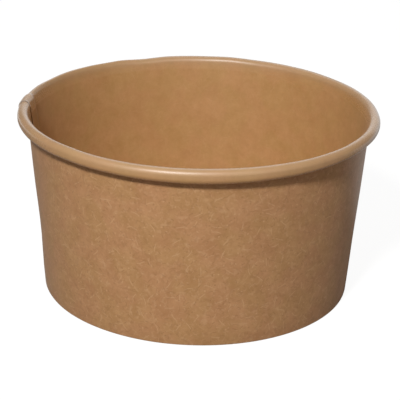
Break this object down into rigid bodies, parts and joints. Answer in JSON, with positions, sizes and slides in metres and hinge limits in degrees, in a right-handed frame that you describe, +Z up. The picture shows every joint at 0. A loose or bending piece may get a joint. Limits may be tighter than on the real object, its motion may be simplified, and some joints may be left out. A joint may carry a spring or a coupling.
{
  "type": "paper bowl",
  "caption": "Round kraft paper food bowl with a tapered wall, a lapped side seam, a rolled rim and a recessed base.",
  "frame": {"origin": "middle of the foot, on the table that the bowl stands on", "axes": "+Z up along the bowl's axis, out of its mouth; -Y towards the side that the picture shows; the side seam lies near -X"},
  "size_m": [0.1504, 0.15, 0.0776],
  "materials": {
    "kraft_wall": "smooth kraft paperboard with a thin satin film",
    "kraft_base": "smooth kraft paperboard with a thin satin film"
  },
  "bodies": {
    "root": {"side_wall": "kraft_wall", "base_disc": "kraft_base"}
  },
  "joints": []
}
